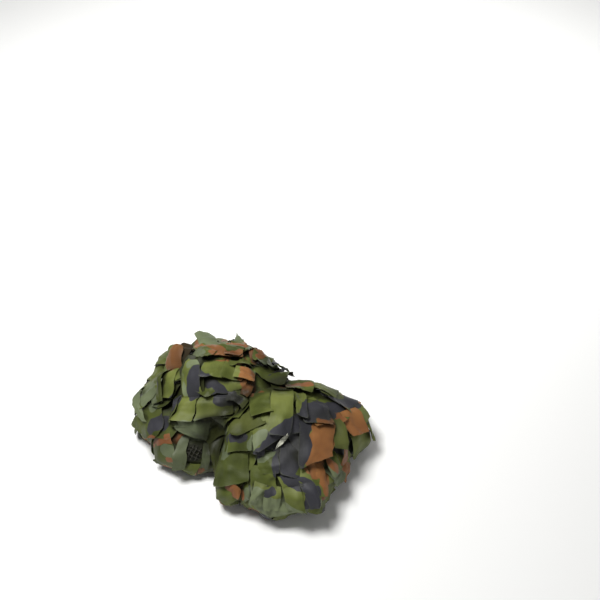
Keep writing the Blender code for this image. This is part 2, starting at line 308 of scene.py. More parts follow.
# the leaves: tongues cut in the cloth, laid one over another
leaves = {
    "seed": 23,
    "rows": 17,
    "columns": 11,
    "gap": 0.5,  # mm between a leaf and what it lies on
    "clothThickness": 0.35,  # mm, drawn thicker than the real 0.2 so that a cut edge shows
    "tautness": 88,  # the percentage of what is under a leaf that its sweep clears
    "downhill": 0.6,  # how much a leaf's first step leans down the slope
    "rimWobble": 0.06,  # share by which a leaf's width strays
    "freeShare": 0.35,  # share of its length past which it hangs free
    "rootShare": 0.14,  # and over which it comes up from its root
    "rootDip": 1.6,  # mm that the root lies under what is around it
    "waveHeight": 2.0,  # mm
    "waveWidth": 17.0,
    "creases": 4,  # pressed into each leaf when it was packed
    "creaseHeights": (0.6, 2.0),
    "creaseWidths": (3.5, 8.0),
    "creaseTurn": 38,  # degrees that they stray from the leaf's length or width
    "creaseAlong": (0.3, 0.9),  # where they cross it, as shares of its length
    "creaseAside": 0.35,
    "hover": 1.6,  # mm that a leaf stands off what it lies on, past its root
    "curlPower": 1.5,  # over 1, a leaf curls mostly near its tip
    "mostRise": 4.0,  # mm of a leaf's curl that the next leaf over it follows
    "shadeReach": 2.82,  # mm, how far the shade under a leaf's edge reaches out
    "shadeFrom": 0.3,  # mm under other cloth at which it begins, and past that at which it is full
    "shadeDepth": 3.0,
    "shadeFull": 0.8,
    "hollowReach": 19.4,  # mm, the size of hollows between heaps
    "hollowDepth": 5.0,
    "hollowShade": 0.8,
    "printSlip": 1.0,  # mm by which the print breaks at a leaf's edge
    "twists": (-1.5, 1.5),  # mm by which one side stands higher
    "loopTwist": -2.5,
    "slants": (-0.12, 0.12),
}
leafParts = np.linspace(0, 1, leaves["rows"])
leafAcross = np.linspace(-1, 1, leaves["columns"])
# places in mm from the saddle, heading in degrees; a lift under 0 is a loop, whose tip comes back to the
# cloth; tip 0 is square, 1 round and 2 pointed; bow is how much higher the middle lies than the sides; the
# last laid have the highest layer; slant is the share by which the right side is shorter
leafColumns = ("x", "y", "heading", "length", "width", "lift", "tip", "bow", "layer", "dye", "slant")
leafRows = (
    # the foot of both heaps
    (-132, -36, -66, 60, 40, 4, 0, 1, 1),
    (-84, -74, -96, 30, 26, 3, 0, 0, 1),
    (153, -28, -40, 40, 34, 4, 0, 1, 1, "green"),
    (-29, -103, -96, 37, 38, 5, 1, 3, 1, "green"),
    (35, -130, -91, 37, 66, 3, 1, 3, 1, "light"),
    (6, -126, -140, 34, 14, 5, 2, 1, 1),
    (87, -118, -66, 42, 24, 5, 0, 1, 1),
    (94, -103, -96, 34, 24, 4, 0, 1, 1),
    # the second row
    (-94, -48, -92, 44, 13, 2, 0, 0, 2, "dullPale"),
    (-59, -46, -87, 42, 12, 3, 0, 0, 2, "dullPale"),
    (-46, -44, -85, 46, 18, 3, 0, 1, 2, "shaded"),
    (154, 4, -50, 44, 16, 3, 0, 1, 2, "green"),
    (124, -29, -76, 64, 16, 4, 0, 0, 2, "brown"),
    (118, -34, -90, 40, 17, 3, 0, 0, 2, "shaded"),
    (64, -82, -98, 44, 34, 3, 0.4, 1, 2),
    (18, -76, -110, 28, 26, 3, 0, 1, 2),
    (28, -100, -86, 24, 26, 3, 0, 1, 2),
    (-21, -79, -94, 40, 52, 3, 0, 3, 2),
    (-24, -110, -42, 24, 15, 6, 1, 2, 4, "brown"),
    (21, -111, -91, 34, 32, 3, 0, 1, 2),
    (59, -116, -64, 46, 36, 3, 0.6, 1, 2),
    (110, -97, -20, 36, 20, 5, 0, 1, 2, "pale"),
    (20, -124, -118, 30, 17, 4, 0, 1, 2),
    (34, -128, -100, 30, 22, 3, 0.4, 1, 3, "light"),
    (56, -128, -80, 30, 20, 4, 0, 1, 3, "light"),
    (74, -122, -60, 30, 16, 5, 0, 1, 2),
    (113, -81, -69, 26, 24, 4, 0, 1, 2),
    # the third row
    (-142, 12, -76, 56, 46, 3, 1, 2, 3),
    (-71, -33, -106, 27, 50, 3, 0, 1, 3),
    (154, 26, -84, 54, 26, 3, 0, 1, 3),
    (91, -45, -102, 66, 50, 4, 0, 1, 3, "", 0.3),
    (69, -50, -140, 74, 40, 2, 0.3, 1, 3),
    (-10, -62, -92, 28, 38, 4, 0, 1, 3),
    # the fourth row
    (-130, 49, -124, 54, 38, 3, 0, 1, 4),
    (-61, -2, -22, 56, 30, 3, 0.6, 1, 4, "light"),
    (-44, -14, -84, 32, 44, 4, 0, 1, 4, "light"),
    (-80, -8, -96, 36, 30, 4, 0, 1, 4),
    (-102, -3, -95, 38, 15, 3, 0, 1, 4),
    (2, 3, -108, 26, 12, 3, 0, 1, 4, "brown"),
    (-22, 100, -52, 44, 34, 4, 0.4, 1, 4),
    (89, -19, -96, 36, 38, 2, 0, 1, 4),
    (124, 34, -94, 48, 50, 1.5, 0, 1, 4),
    (23, -53, -174, 52, 26, 5, 1, 3, 4, "shaded"),
    # a leaf in painted deep shade behind the tongue, for the shadow under its arch
    (-74, -10, 95, 54, 36, 6, 1, 1, 5, "deepShade"),
    (-86, 57, -2, 32, 15, 4, 0, 0, 4, "pale"),
    # the top row
    (-107, 37, -96, 42, 24, 3, 0, 1, 5, "light"),
    (-117, 41, -86, 48, 16, 3, 0, 1, 5),
    (-158, 52, -106, 74, 8, -3, 0.3, 0, 5, "pale"),
    (-74, -12, 95, 46, 28, 7, 1, 2, 5),
    (-45, 42, -90, 43, 30, 4, 0, 1, 5, "light"),
    (-18, 41, -91, 43, 25, 4, 0, 1, 5, "light"),
    (-3, 27, -86, 32, 25, 4, 0, 2, 5),
    (-1, 59, 6, 30, 18, 3, 0, 0, 5, "brown"),
    (14, -10, -89, 42, 28, 3, 0, 1, 5),
    (46, 0, -91, 82, 28, 2, 0, 1, 5, "light"),
    (71, -6, -89, 46, 15, 3, 0, 1, 5),
    (96, 34, -88, 40, 46, 1.5, 0, 1, 5, "green"),
    (137, -11, -60, 36, 30, 5, 0, 1, 5, "lightBrown"),
    (29, 14, 72, 44, 14, 6, 2, 0, 5, "dark"),
    # over all the others
    # a leaf in painted deep shade behind the brown loop, for the shadow under its rim
    (-103, 40, 84, 36, 40, 9, 0.8, 2, 5, "deepBrown"),
    (-106, 36, 84, 30, 32, 6, 0.8, 2, 6, "dullBrown"),
    (-74, 66, 100, 46, 20, 6, 0, 1, 6),
    (-43, 84, -86, 45, 60, 3, 0, 1, 6),
    (0, 44, -138, 36, 14, 3, 1.4, 0, 6, "green"),
    (12, 104, -60, 52, 20, 6, 1.8, 0, 6),
    (68, 30, -90, 40, 40, 3, 0, 1, 6),
    (-64, 88, 102, 36, 25, 10, 0.4, 1, 7, "pale", 0.4),
    (-20, 106, 100, 26, 11, 9, 2, 1, 7, "pale"),
    (55, -77, -147, 25, 6, 3, 1.6, 0, 7, "bare"),
    (-19, 72, -94, 34, 22, 4, 0.3, 1, 8),
    (-53, 56, -100, 28, 17, 4, 1.2, 1, 8),
    (15, 67, -91, 30, 22, 5, 0.4, 2, 8),
    (31, 56, -98, 28, 19, 6, 1, 2, 8, "pale"),
)
# leaves laid by rule over all of the net before those above
cover = {
    "seed": 5,
    "tries": 9000,
    "share": 1.01,  # of the way from the top that they root in
    "spacing": 28.0,  # mm between their roots
    "farSpacing": 23.0,
    "length": (38, 58),
    "width": (28, 44),
    "lift": (1.5, 7.5),
    "bow": (-1.5, 2.5),
    "hover": (0.6, 3.0),
    "turn": 34,  # degrees that they stray to either side
    "twist": (-2.5, 2.5),  # mm by which one side stands higher
    "slant": (-0.2, 0.2),
    "tip": (0, 0, 0, 0.4, 0.7, 1, 1.4),
    "level": (45, 85),  # mm of height between which they turn to the front
    "toFront": 0.5,
    "jumble": (-8, 8),  # mm by which the order that they are laid in strays
    "shortUnder": 50,  # mm of height under which they are short
    "shortLength": (12, 0.8),  # mm at the floor, and what each mm of height adds
    "shortTips": (0, 0, 0.8, 1.6, 2),
    "printSlip": 5.0,
}
# the dyes and painted shades: the ink, how lit the leaf is painted, under 1 where it is painted in shade, and
# its tint where that is fixed; 1 is the lightest, and over 1.5 the unprinted back shows
dyesAndShades = {ink: (ink, 1.0, None) for ink in ("", "green", *inks)}
dyesAndShades.update({
    "light": ("", 1.0, 1.0),
    "lightBrown": ("brown", 1.0, 1.0),
    "dullPale": ("pale", 0.6, None),
    "dullBrown": ("brown", 0.7, None),
    "deepBrown": ("brown", 0.1, None),
    "shaded": ("green", 0.5, None),
    "deepShade": ("green", 0.2, None),
    "bare": ("green", 1.0, 2.0),
})
fullDepth = 14.0  # mm, inside a patch by more than its outline wanders
farFromEdge = 20.0  # mm
# what the material knows of each point: how far inside each ink and from the cut edge it lies, its tint
# and its painted light, under 1 where painted shade darkens it
marks = (*inks, "edge", "tint", "shade")
# openings where the netting shows: the place, then how wide to either side, mm
openings = (
    (-80, -66, 12),
    (56, 78, 10),
    (-64, 118, 12),
)


def stepOn(places, ahead, distance):
    # moves places over the bed and keeps the way ahead level with the cloth
    a, b, out = readMap(bedA, places), readMap(bedB, places), readMap(bedFacing, places)
    ahead = unit(ahead - out * (ahead * out).sum(-1, keepdims=True))
    aa, bb, ab = (a * a).sum(-1), (b * b).sum(-1), (a * b).sum(-1)
    toA, toB = (a * ahead).sum(-1), (b * ahead).sum(-1)
    scale = distance / (aa * bb - ab * ab + 1e-12)
    moved = places + np.stack([(toA * bb - toB * ab) * scale, (toB * aa - toA * ab) * scale], -1)
    share = np.hypot(moved[..., 0], moved[..., 1])
    most = bed["edge"] - 3 * cellSize
    return moved * np.minimum(1, most / np.maximum(share, 1e-6))[..., None], ahead


def curlOf(lift, length):
    # the slope at each step, in radians, that lifts the tip this far
    part = np.linspace(0, 1, leaves["rows"] - 1) ** leaves["curlPower"]
    stride = length / (leaves["rows"] - 1)
    for steepest in np.linspace(0, 2.2, 80):  # radians at the tip
        slopes = steepest * part
        if np.sin(slopes).sum() * stride >= lift:
            break
    return slopes


def widthsOf(leaf):
    # the three tips, square, round and pointed, narrow past 0.9, 0.62 and 0.25 of the length
    tip = leaf["tip"]
    square = 1 - 0.10 * np.clip((leafParts - 0.9) / 0.1, 0, 1) ** 2
    rounded = np.sqrt(np.maximum(1 - np.clip((leafParts - 0.62) / 0.385, 0, 1) ** 2, 0.03))
    pointed = 1 - 0.93 * np.clip((leafParts - 0.25) / 0.75, 0, 1) ** 1.2
    shape = square * (1 - tip) + rounded * tip if tip <= 1 else rounded * (2 - tip) + pointed * (tip - 1)
    wobble = np.array([noise.noise(Vector((part * 3, leaf["number"] * 7.3, 0))) for part in leafParts])
    return leaf["width"] * mm * shape * (1 + leaves["rimWobble"] * wobble)


def spreadOut(leaf, slopes, widths):
    # the leaf's grid of places on the map
    rows, columns = leaves["rows"], leaves["columns"]
    stride = leaf["length"] * mm / (rows - 1)
    place = leaf["place"]
    out = readMap(bedFacing, place)
    turn = math.radians(leaf["heading"])
    ahead = np.array([math.cos(turn), math.sin(turn), 0.0])
    ahead[2] = -leaves["downhill"] * np.sign(ahead @ (out * (1, 1, 0)) + 1e-6)
    spine, ways = [place], []
    for slope in slopes:
        place, ahead = stepOn(place, ahead, stride * math.cos(slope))
        spine.append(place)
        ways.append(ahead)
    spine, ways = np.array(spine), np.array(ways[:1] + ways)
    aside = np.cross(readMap(bedFacing, spine), ways)
    half = columns // 2
    places = np.zeros((rows, columns, 2))
    places[:, half] = spine
    for side in (-1, 1):
        at, way = spine, aside * side
        for k in range(1, half + 1):
            at, way = stepOn(at, way, widths / (columns - 1))
            places[:, half + side * k] = at
    # a slanted cut shortens one side
    slant = abs(leaf["slant"]) * (1 + np.sign(leaf["slant"]) * leafAcross[None]) / 2
    short = leafParts[:, None] * (1 - slant) * (rows - 1)
    return readGrid(places, np.stack(np.broadcast_arrays(short, np.arange(columns)), -1))


def sweepOver(places):
    # how high a leaf lies that sweeps smoothly over what is under it
    under = readMap(pile, places)
    u, v = np.meshgrid(leafParts * 2 - 1, leafAcross, indexing="ij")
    terms = np.stack([u ** 0, u, v, u * u, v * v, u * v, u ** 3, u * u * v], -1).reshape(-1, 8)
    sweep = (terms @ np.linalg.lstsq(terms, under.ravel(), rcond=None)[0]).reshape(under.shape)
    sweep += np.percentile(under - sweep, leaves["tautness"])
    laid = np.maximum(under, sweep)
    for _ in range(3):
        near = np.pad(laid, 1, mode="edge")
        laid = np.maximum(under, (near[:-2, 1:-1] + near[2:, 1:-1] + near[1:-1, :-2] + near[1:-1, 2:]) / 4)
    return laid


def curlUp(leaf, slopes, widths, points, chance):
    # how far the leaf stands off its sweep: its lift, bow, twist, waves and creases
    length = leaf["length"] * mm
    rise = np.concatenate([[0], np.cumsum(np.sin(slopes) * length / (leaves["rows"] - 1))])
    rise += leaf["hover"] * mm * np.clip(leafParts / 0.25, 0, 1)
    rise += max(-leaf["lift"], 0) * mm * np.sin(math.pi * leafParts) ** 0.8
    free = np.clip(leafParts / leaves["freeShare"], 0, 1)[:, None]
    bow = leaf["bow"] * mm * (1 - leafAcross ** 2 if leaf["bow"] > 0 else -leafAcross ** 2)
    curl = rise[:, None] + bow * free * (0.4 + 0.6 * leafParts[:, None])
    turning = np.sin(math.pi * leafParts) if leaf["lift"] < 0 else leafParts ** 2
    curl = np.maximum(curl + leaf["twist"] * mm * leafAcross * turning[:, None], 0)
    seed = Vector((0, 0, leaf["number"] * 3.1))
    for i, j in np.ndindex(curl.shape):
        at = Vector(points[i, j])
        wave = leaves["waveHeight"] * (0.5 + noise.noise(at / (leaves["waveWidth"] * mm) + seed))
        curl[i, j] += max(0, wave) * mm * (0.35 + 0.65 * free[i, 0])
    along, aslant = leafParts[:, None] * length, leafAcross[None] * widths[:, None] / 2
    strays, aside = leaves["creaseTurn"], leaves["creaseAside"]
    for _ in range(leaves["creases"]):
        turned = math.radians(chance.choice((0, 0, 90)) + chance.uniform(-strays, strays))
        away = abs((along - chance.uniform(*leaves["creaseAlong"]) * length) * math.sin(turned)
                   - (aslant - chance.uniform(-aside, aside) * leaf["width"] * mm) * math.cos(turned))
        crest = np.maximum(0, 1 - away / (chance.uniform(*leaves["creaseWidths"]) * mm)) ** 1.3
        curl += chance.uniform(*leaves["creaseHeights"]) * mm * crest * (0.3 + 0.7 * free)
    return curl


def growPile(places, laid, height):
    # the pile takes on what was laid, from a grid finer than its cells
    finer = 3
    steps = [np.linspace(0, size - 1, (size - 1) * finer + 1) for size in laid.shape]
    followed = laid + np.minimum(height - laid, leaves["mostRise"] * mm)
    dense = readGrid(np.concatenate([places, followed[..., None]], -1),
                     np.stack(np.meshgrid(*steps, indexing="ij"), -1))
    cells = np.rint((dense[..., :2] + bed["edge"]) / cellSize).astype(int)
    np.maximum.at(pile, (cells[..., 0], cells[..., 1]), dense[..., 2])


def pastOpenings(places):
    # mm from the nearest opening's rim, under 0 inside it
    skin = readMap(skinPoints, places)
    return np.min([np.linalg.norm(skin - readMap(skinPoints, placeOnMap(x, y)), axis=-1) / mm - wide
                   for x, y, wide in openings], axis=0)


def layLeaf(leaf, chance):
    length = leaf["length"] * mm
    slopes = curlOf(max(leaf["lift"], 0) * mm, length)
    widths = widthsOf(leaf)
    places = spreadOut(leaf, slopes, widths)
    if not leaf["charted"] and pastOpenings(places).min() < 0:
        return None
    points = readMap(bedPoints, places)
    laid = sweepOver(places)
    curl = curlUp(leaf, slopes, widths, points, chance)
    root = 1 - np.clip(leafParts / leaves["rootShare"], 0, 1)[:, None]
    gap = (leaves["gap"] + leaves["clothThickness"]) * mm
    height = laid + gap + curl - root * (leaves["rootDip"] * mm + curl)
    vertices = points + readMap(bedLifts, places) * height[..., None]
    vertices[..., 2] = np.maximum(vertices[..., 2], 2 * bed["floorGap"] * mm)
    growPile(places, laid, height)
    # the print, which slips a little at each cut
    slip = np.array([chance.gauss(0, leaf["slip"]) for _ in range(3)]) * mm
    depths = inkDepths(points + slip)
    dye, lit, tint = dyesAndShades[leaf["dye"]]
    anyTint = chance.random()
    if dye:
        depths = {ink: np.full(laid.shape, fullDepth if ink == dye else -fullDepth) for ink in inks}
    ahead, aside = np.broadcast_arrays((leafParts * length)[:, None], leafAcross * widths[:, None] / 2)
    # each leaf has its own part of the cloth's pattern
    part = np.array([leaf["number"] % 17, leaf["number"] // 17]) * 0.13
    return {"points": vertices, "cloth": np.stack([aside, ahead], -1) + part, **depths,
            "edge": np.minimum(widths[:, None] / 2 - abs(aside), length - ahead) / mm,
            "tint": np.full(laid.shape, anyTint if tint is None else tint), "lit": lit,
            "area": widths.mean() * length, "places": places, "height": height}


def shadeUnder(places, height):
    # painted shade on cloth under the leaves over it and in the hollows between heaps, 1 where none falls
    under = (readMap(pileSoft, places) - height) / mm
    near = 1 - leaves["shadeFull"] * np.clip((under - leaves["shadeFrom"]) / leaves["shadeDepth"], 0, 1)
    depth = np.clip(readMap(hollows, places) / (leaves["hollowDepth"] * mm), 0, 1)
    return near * (1 - leaves["hollowShade"] * depth)


def coverLeaves():
    # roots spread evenly, and laid from the foot up as tiles are
    chance = random.Random(cover["seed"])
    roots = []
    for _ in range(cover["tries"]):
        place = placeAt(cover["share"] * math.sqrt(chance.random()), chance.uniform(-math.pi, math.pi))
        point = readMap(bedPoints, place)
        far = farSide(point) and point[2] > woodland["lowEnd"] * mm
        spacing = cover["farSpacing" if far else "spacing"] * mm
        if all(np.linalg.norm(point - other) > spacing for _, other in roots):
            roots.append((place, point))
    made = []
    for place, point in roots:
        out = readMap(bedFacing, place)
        # on top, where little slopes, they point to the front
        lean = np.array([out[0], out[1] - np.interp(point[2] / mm, cover["level"], (0, cover["toFront"]))])
        heading = math.degrees(math.atan2(lean[1], lean[0])) + chance.uniform(-1, 1) * cover["turn"]
        leaf = {key: chance.choice(cover[key]) if key == "tip" else chance.uniform(*cover[key])
                for key in ("length", "width", "lift", "tip", "bow", "twist", "slant", "hover")}
        leaf.update(place=place, heading=heading, dye="", slip=cover["printSlip"], charted=False,
                    order=point[2] + chance.uniform(*cover["jumble"]) * mm)
        if point[2] < cover["shortUnder"] * mm:
            least, more = cover["shortLength"]
            leaf["length"] = min(leaf["length"], least + more * point[2] / mm)
            leaf["tip"] = chance.choice(cover["shortTips"])
        made.append(leaf)
    return sorted(made, key=lambda leaf: leaf["order"])


def chartedLeaves():
    chance = random.Random(cover["seed"] + 1)
    made = []
    for row in leafRows:
        leaf = {"dye": "", "slip": leaves["printSlip"], "hover": leaves["hover"], "charted": True,
                **dict(zip(leafColumns, row))}
        leaf["place"] = placeOnMap(leaf["x"], leaf["y"])
        leaf["twist"] = leaves["loopTwist"] if leaf["lift"] < 0 else chance.uniform(*leaves["twists"])
        leaf.setdefault("slant", chance.uniform(*leaves["slants"]))
        made.append(leaf)
    return sorted(made, key=lambda leaf: leaf["layer"])


def layAll(batch, chance, first):
    laid = [layLeaf({**leaf, "number": number}, chance) for number, leaf in enumerate(batch, first)]
    return [leaf for leaf in laid if leaf]


chance = random.Random(leaves["seed"])
coverBatch = layAll(coverLeaves(), chance, 0)
print("cover laid,", len(coverBatch), "leaves, pile", round(float(pile.max()) / mm, 1), "mm")
chartedBatch = layAll(chartedLeaves(), chance, len(coverBatch))
pileSoft = soften(pile, leaves["shadeReach"] * mm / cellSpan)
skinReach = np.linalg.norm(skinPoints - heart, axis=-1)
hollows = soften(skinReach, leaves["hollowReach"] * mm / cellSpan) - skinReach
print("charted leaves laid, pile", round(float(pile.max()) / mm, 1), "mm")


def quadsOf(numbers, flipped=False, keep=...):
    # the faces of a grid of numbered points
    corners = numbers[:-1, :-1], numbers[:-1, 1:], numbers[1:, 1:], numbers[1:, :-1]
    quads = np.stack([corners[k] for k in ((0, 3, 2, 1) if flipped else (0, 1, 2, 3))], -1)
    return quads[keep].reshape(-1, 4).tolist()


def addObject(name, data):
    made = bpy.data.objects.new(name, data)
    scene.collection.objects.link(made)
    return made


def newPiece(name, points, faces, cloth, material):
    mesh = bpy.data.meshes.new(name)
    mesh.from_pydata([Vector(p) for p in points], [], faces)
    corners = np.zeros(len(mesh.loops), int)
    mesh.loops.foreach_get("vertex_index", corners)
    places = np.array(cloth)[corners].astype(np.float32)
    mesh.uv_layers.new(name="cloth").data.foreach_set("uv", places.ravel())
    mesh.materials.append(material)
    mesh.shade_smooth()
    return addObject(name, mesh)


def makeCloth(name, faces, laid, material):
    piece = newPiece(name, laid["points"], faces, laid["cloth"], material)
    mesh = piece.data
    for key in marks:
        values = np.full(len(mesh.vertices), np.ravel(laid[key]), np.float32)
        mesh.attributes.new(key, "FLOAT", "POINT").data.foreach_set("value", values)
    # a crisp rim, so that the cut cloth doesn't look like a cushion
    rim = np.bincount([loop.edge_index for loop in mesh.loops]) == 1
    mesh.attributes.new("sharp_edge", "BOOLEAN", "EDGE").data.foreach_set("value", rim.tolist())
    solid = piece.modifiers.new("thickness", "SOLIDIFY")
    solid.thickness = leaves["clothThickness"] * mm
    solid.offset = 0
    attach(piece, "root")
    return piece


def joinLeaves(name, laid, material):
    size = leaves["rows"] * leaves["columns"]
    numbers = np.arange(len(laid) * size).reshape(len(laid), leaves["rows"], -1)
    faces = [face for leaf in numbers for face in quadsOf(leaf)]
    for leaf in laid:
        # painted shade: the dye's share of light times the shade under leaves and in hollows
        leaf["shade"] = leaf["lit"] * shadeUnder(leaf["places"], leaf["height"])
    joined = {key: np.concatenate([leaf[key].reshape(size, -1) for leaf in laid])
              for key in ("points", "cloth", *marks)}
    return makeCloth(name, faces, joined, material)


def linear(colour):
    # sRGB hex to linear
    parts = [int(colour[k:k + 2], 16) / 255 for k in (1, 3, 5)]
    return (*[part / 12.92 if part <= 0.04045 else ((part + 0.055) / 1.055) ** 2.4 for part in parts], 1)


def addNode(tree, kind, settings, links=()):
    node = tree.nodes.new("ShaderNode" + kind)
    for key, value in settings.items():
        if isinstance(key, int) or key in node.inputs:
            node.inputs[key].default_value = value
        else:
            setattr(node, key, value)
    for key, source in dict(links).items():
        tree.links.new(source.outputs[0] if isinstance(source, bpy.types.Node) else source, node.inputs[key])
    return node


def newMaterial(name):
    material = bpy.data.materials.new(name)
    material.use_nodes = True
    material.node_tree.nodes.clear()
    return material, partial(addNode, material.node_tree)


wavePeriod = 0.314  # metres between the bands of a wave texture at scale 1
# woven polyester taffeta, calendered and printed: a soft satin shine, its weave just seen
printedTaffeta = {
    "green": ("#313812", "#4c5423", "#6c7338"),  # deep, middling and light
    "pale": ("#4f5740", "#707958"),  # deep and light
    "brown": ("#6c4127", "#906238"),
    "dark": ("#343439", "#343439"),
    # folds is the colour of the painted shade under leaves, in hollows and in openings
    "folds": "#191a0b",
    "bare": "#b9b9a8",  # the unprinted back
    "rawEdge": "#666b48",
    "printWander": 5.12,  # mm by which a patch's outline wanders at most
    "printWanderSize": 15.0,
    "printTooth": 0.25,  # mm, the small unevenness of the printed edge
    "printToothSize": 2.6,
    "printEdge": 0.35,  # mm to either side over which the ink thins out
    "shadeSize": 34.0,  # mm, slow changes of the green
    "shadePart": 0.6,
    "threadPitch": 1.6,  # mm, drawn six times as coarse as the real 0.25 so that it shows
    "weaveHeight": 0.132,
    "crinkleSize": 5.0,  # mm, small crinkles from being packed
    "crinkleHeight": 0.33,
    "foldSize": 15.0,  # mm, the sharper folds between them
    "foldHeight": 0.55,
    "wear": (0.90, 1.08),  # how dark and how light the cloth has worn
    "fray": (0.9, 0.25),  # mm from the cut edge where it begins to fray, and where most of it has
    "frayed": 0.2,
    "roughness": (0.43, 0.62),
    "ior": 1.5,
    "sheen": 0.03,
    "specular": 0.22,
}


def makeTaffeta(name, look, paintedLight):
    material, add = newMaterial(name)
    cloth = add("UVMap", {"uv_map": "cloth"})
    laid = {key: add("Attribute", {"attribute_name": key}).outputs["Fac"] for key in marks}
    wander, tooth, slow, crinkle, sharp = [
        add("TexNoise", {"noise_type": kind, "Scale": 1 / (look[size] * mm), "Detail": detail,
                         "Roughness": rough}, {"Vector": cloth})
        for size, kind, detail, rough in (
            ("printWanderSize", "FBM", 1, 0.5), ("printToothSize", "FBM", 1, 0.5),
            ("shadeSize", "FBM", 2, 0.5), ("crinkleSize", "FBM", 3, 0.55),
            ("foldSize", "RIDGED_MULTIFRACTAL", 1, 0.4))]
    # the dyed ground, then the inks one over another
    spread = add("MapRange", {"From Min": 0.32, "From Max": 0.68, "To Max": look["shadePart"]},
                 {"Value": slow})
    tint = add("Math", {"operation": "MULTIPLY_ADD", 1: 0.5, "use_clamp": True}, {0: laid["tint"], 2: spread})
    ramp = add("ValToRGB", {}, {"Fac": tint})
    ramp.color_ramp.elements.new(0.5)
    for stop, green in zip(ramp.color_ramp.elements, look["green"]):
        stop.color = linear(green)
    colour = ramp.outputs["Color"]
    toothed = add("Math", {"operation": "MULTIPLY_ADD", 1: 2 * look["printTooth"], 2: -look["printTooth"]},
                  {0: tooth})
    channels = add("SeparateColor", {}, {"Color": wander.outputs["Color"]}).outputs
    for ink, channel in reversed(tuple(zip(inks, channels))):
        depth = add("Math", {"operation": "ADD"}, {0: laid[ink], 1: toothed})
        moved = add("Math", {"operation": "MULTIPLY_ADD", 1: 2 * look["printWander"]}, {0: channel, 2: depth})
        mask = add("MapRange", {"interpolation_type": "SMOOTHSTEP",
                                "From Min": look["printWander"] - look["printEdge"],
                                "From Max": look["printWander"] + look["printEdge"]}, {"Value": moved})
        deep, light = [linear(shade) for shade in look[ink]]
        dyed = add("Mix", {"data_type": "RGBA", 6: deep, 7: light}, {0: tint})
        colour = add("Mix", {"data_type": "RGBA"}, {0: mask, 6: colour, 7: dyed.outputs[2]}).outputs[2]
    # threads show as a faint grid
    threads = [add("TexWave", {"bands_direction": way, "Scale": wavePeriod / (look["threadPitch"] * mm),
                               "Distortion": 0.6, "Detail": 1, "Detail Scale": 2},
                   {"Vector": cloth}).outputs["Fac"] for way in ("X", "Y")]
    weave = add("Math", {"operation": "MULTIPLY"}, {0: threads[0], 1: threads[1]})
    wear = add("Mix", {0: 0.5}, {2: weave, 3: crinkle})
    dark, light = look["wear"]
    # paintedLight darkens a whole copy of the cloth, painted shade for the inner layers
    worn = add("MapRange", {"To Min": dark * paintedLight, "To Max": light * paintedLight}, {"Value": wear})
    colour = add("VectorMath", {"operation": "SCALE"}, {0: colour, "Scale": worn})
    # the cut edge frays to raw yarn, and a turned leaf shows the unprinted back
    edge = add("Math", {"operation": "ADD"}, {0: laid["edge"], 1: toothed})
    begins, ends = look["fray"]
    frayed = add("MapRange", {"From Min": begins, "From Max": ends, "To Max": look["frayed"]},
                 {"Value": edge})
    turned = add("MapRange", {"From Min": 1.4, "From Max": 1.5}, {"Value": laid["tint"]})
    for shown, part in (("rawEdge", frayed), ("bare", turned)):
        colour = add("Mix", {"data_type": "RGBA", 7: linear(look[shown])}, {0: part, 6: colour}).outputs[2]
    # painted shade: the cloth darkens to the folds colour where other leaves lie on it, in hollows and in
    # openings
    shaded = add("Mix", {"data_type": "RGBA", 6: linear(look["folds"])}, {0: laid["shade"], 7: colour})
    # the folds' relief with the crinkles' and the weave's
    relief = sharp
    for height, over in (("crinkleHeight", crinkle), ("weaveHeight", weave)):
        relief = add("Math", {"operation": "MULTIPLY_ADD", 1: look[height] / look["foldHeight"]},
                     {0: over, 2: relief})
    bump = add("Bump", {"Strength": 0.6, "Distance": look["foldHeight"] * mm}, {"Height": relief})
    rough = add("MapRange", dict(zip(("To Min", "To Max"), look["roughness"])), {"Value": crinkle})
    shader = add("BsdfPrincipled", {"IOR": look["ior"], "Metallic": 0.0, "Sheen Weight": look["sheen"],
                                    "Sheen Roughness": 0.4, "Specular IOR Level": look["specular"]},
                 {"Base Color": shaded.outputs[2], "Roughness": rough, "Normal": bump})
    add("OutputMaterial", {}, {"Surface": shader})
    return material


# the inner layers get a copy of the cloth darkened by painted shade
taffeta = makeTaffeta("printed_taffeta", printedTaffeta, 1.0)
shadedInnerTaffeta = makeTaffeta("printed_taffeta_inner_shaded", printedTaffeta, 0.8)
for name, laid in (("under_leaves", coverBatch), ("upper_leaves", chartedBatch)):
    piece = joinLeaves(name, laid, taffeta)
    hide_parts("net_bundle")
print("leaf pieces made")


# the inner layers, gathered under the leaves, and the cloth's underside on the floor
inner = {
    "step": 3,  # the map's cells to a face
    "pastFoot": 0.004,  # share that it runs past the foot
    "cloth": 0.24,  # metres of cloth for a share of 1, about, with the gathers
    "tint": 0.4,
    "openingLight": 0.03,  # share of the light that reaches the bottom of an opening
    "openingRim": (1, 6),  # mm past its rim between which it grows light
}


